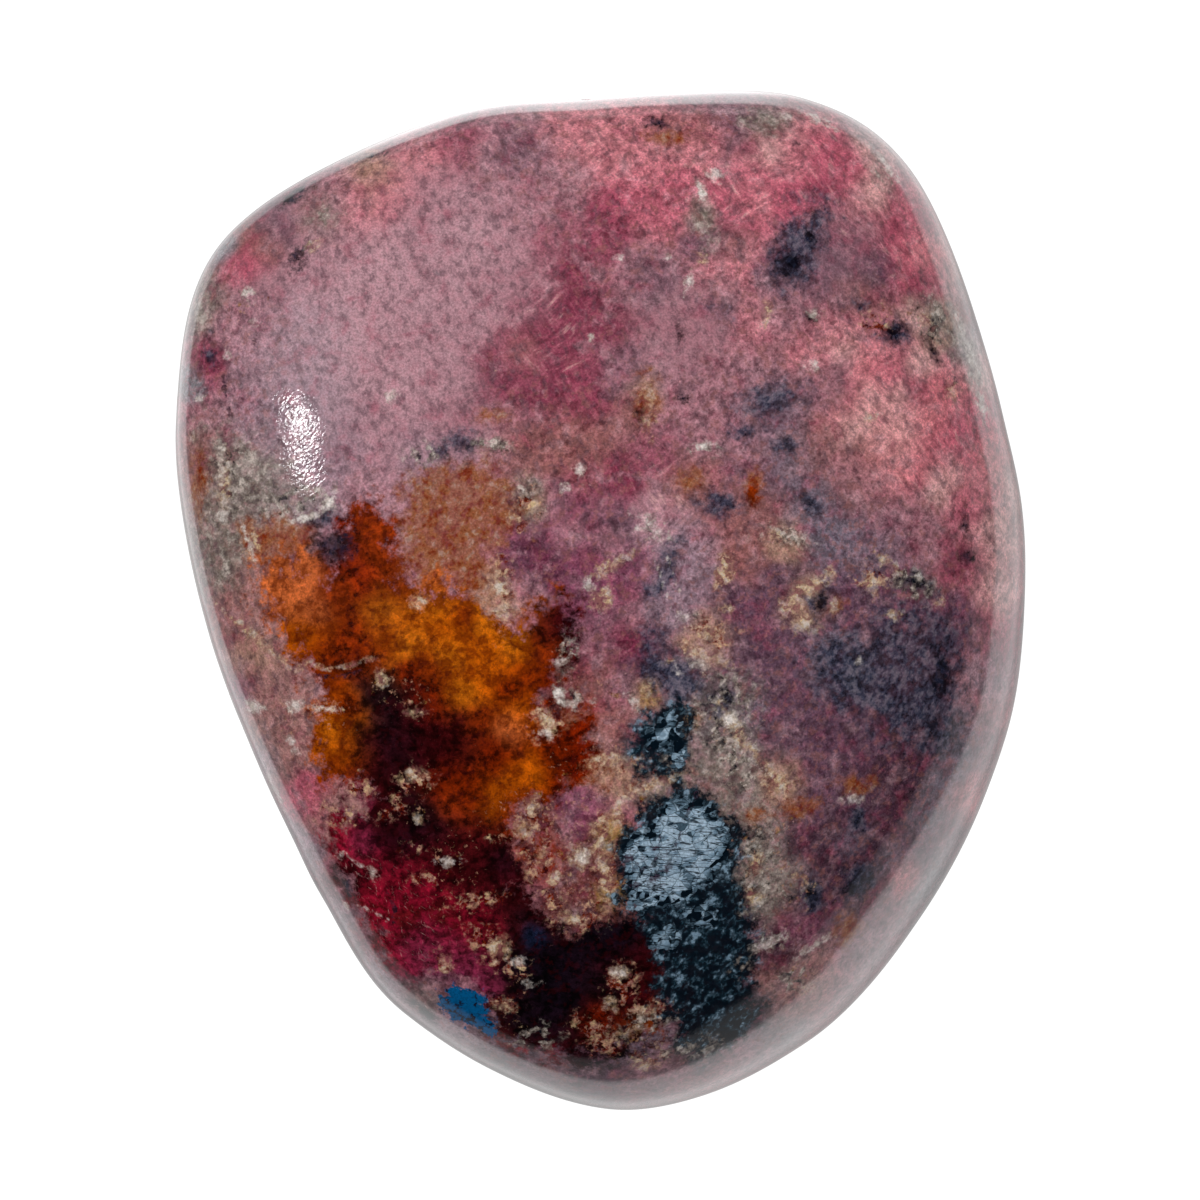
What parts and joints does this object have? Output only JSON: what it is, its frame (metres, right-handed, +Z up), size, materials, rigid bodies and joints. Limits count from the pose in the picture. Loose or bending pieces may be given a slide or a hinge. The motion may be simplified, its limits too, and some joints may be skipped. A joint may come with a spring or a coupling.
{
  "type": "polished rhodonite freeform",
  "caption": "Palm-size polished stone of rose rhodonite with dark, orange and cream minerals, lying on a small flat ground on its back.",
  "frame": {"origin": "on the resting plane, under the middle of the stone's box", "axes": "+Z up out of the polished face, +Y along the stone's long side towards its flat end, +X across it"},
  "size_m": [0.0698, 0.0839, 0.04],
  "materials": {
    "rhodonite": "polished stone: rose and plum ground with fine fibrous grain, slate blue, black, burnt orange, cream and azure minerals"
  },
  "bodies": {
    "root": {"rhodonite_stone": "rhodonite"}
  },
  "joints": []
}
